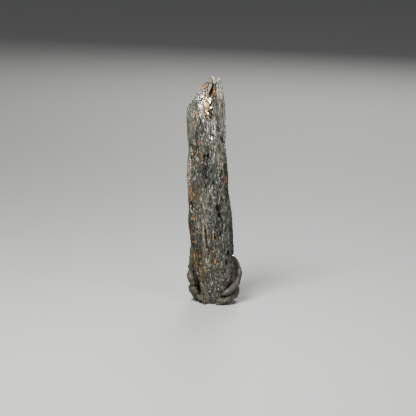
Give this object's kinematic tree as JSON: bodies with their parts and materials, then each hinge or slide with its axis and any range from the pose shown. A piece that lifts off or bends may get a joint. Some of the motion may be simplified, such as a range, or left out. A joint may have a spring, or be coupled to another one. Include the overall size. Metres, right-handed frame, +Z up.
{
  "type": "iridescent hematite splinter on mounting putty",
  "caption": "Tall fibrous splinter of iridescent hematite with rust-stained fissures, stood on its narrow end in a kneaded lump of grey-brown mounting putty",
  "frame": {"origin": "on the surface that the piece stands on, under the middle of its outline seen from above", "axes": "+Z up along the splinter, -Y the broad face that is shown to a viewer, +X to that viewer's right"},
  "size_m": [0.0218, 0.0154, 0.0847],
  "materials": {
    "iridescent_hematite": "satin",
    "grey_brown_putty": "matte"
  },
  "bodies": {
    "root": {"hematite_splinter": "iridescent_hematite", "mounting_putty": "grey_brown_putty"}
  },
  "joints": []
}
